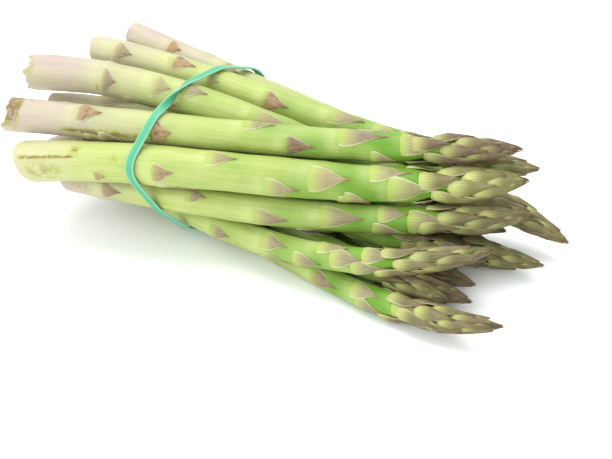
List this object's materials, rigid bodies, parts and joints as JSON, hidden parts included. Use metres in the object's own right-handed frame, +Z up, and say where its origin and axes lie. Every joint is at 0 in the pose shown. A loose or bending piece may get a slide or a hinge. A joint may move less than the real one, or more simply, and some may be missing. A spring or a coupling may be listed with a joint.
{
  "type": "bundle of asparagus",
  "caption": "Bunch of fresh green asparagus spears lying down, tied near the cut butts by a flat rubber band, with the closed bud tips fanned out at the other end.",
  "frame": {"origin": "middle of the bundle's footprint, on the table it lies on", "axes": "+X along the bundle from the cut butts to the tips, +Y to its far side, +Z up"},
  "size_m": [0.2288, 0.103, 0.064],
  "materials": {
    "spear": "fresh plant skin: waxy, faintly ribbed, satin, pale at the butt and olive and purple-brown in the bud",
    "band": "satin stretched rubber"
  },
  "bodies": {
    "root": {"spear_top_back": "spear", "spear_top_second": "spear", "spear_top_pale": "spear", "spear_under_pale": "spear", "spear_top_front": "spear", "spear_front_thick": "spear", "spear_front_slim": "spear", "spear_front_low": "spear", "spear_table_front": "spear", "spear_table_short": "spear", "spear_table_dark": "spear", "spear_table_inner": "spear", "spear_inner_low": "spear", "spear_table_back": "spear", "spear_back_low": "spear", "spear_back_side": "spear", "spear_inner_mid": "spear", "spear_inner_high": "spear", "rubber_band": "band"}
  },
  "joints": []
}
